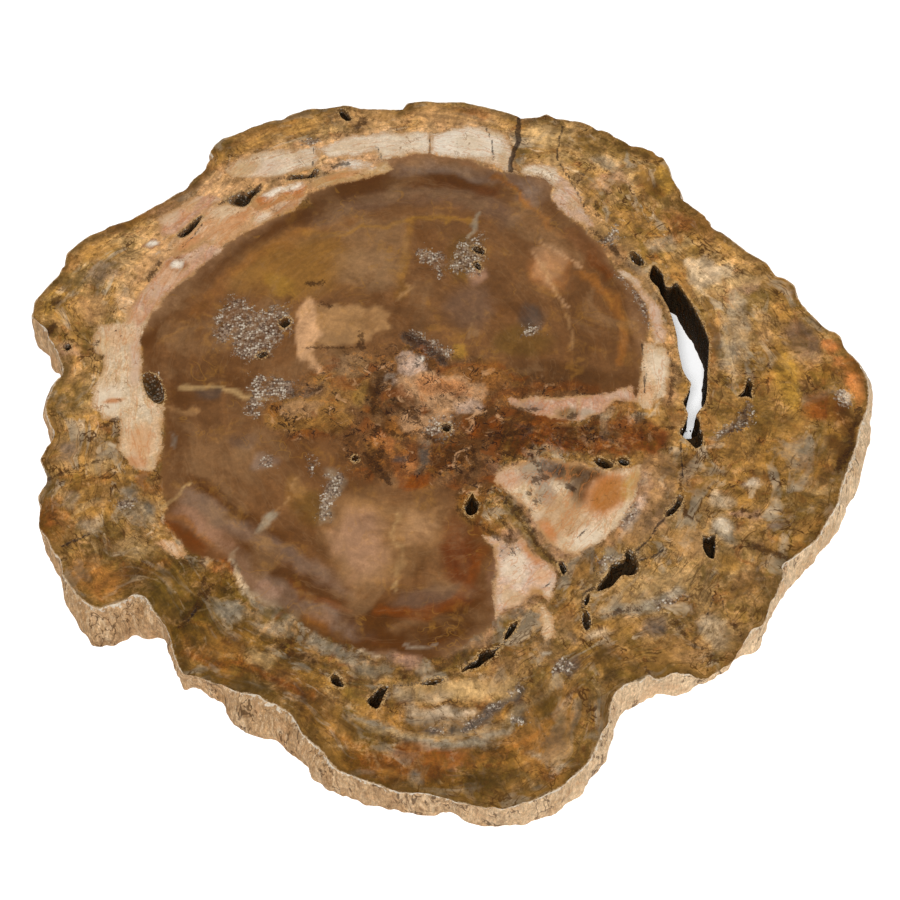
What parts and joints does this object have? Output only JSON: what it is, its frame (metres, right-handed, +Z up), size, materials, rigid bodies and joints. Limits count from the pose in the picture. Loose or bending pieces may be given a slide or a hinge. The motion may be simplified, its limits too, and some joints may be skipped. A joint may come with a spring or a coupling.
{
  "type": "petrified wood slice",
  "caption": "Polished slice of petrified wood with an irregular rim, an agate heart, a long opening through it and small vugs, lying flat on its sawn underside.",
  "frame": {"origin": "centre of the outline's box, on the flat sawn underside", "axes": "+Z up out of the polished face, +X to the right along the slice's longest extent, +Y away from the viewer of the picture"},
  "size_m": [0.3388, 0.3198, 0.021],
  "materials": {
    "stone": "polished"
  },
  "bodies": {
    "root": {"wood_slice": "stone"}
  },
  "joints": []
}
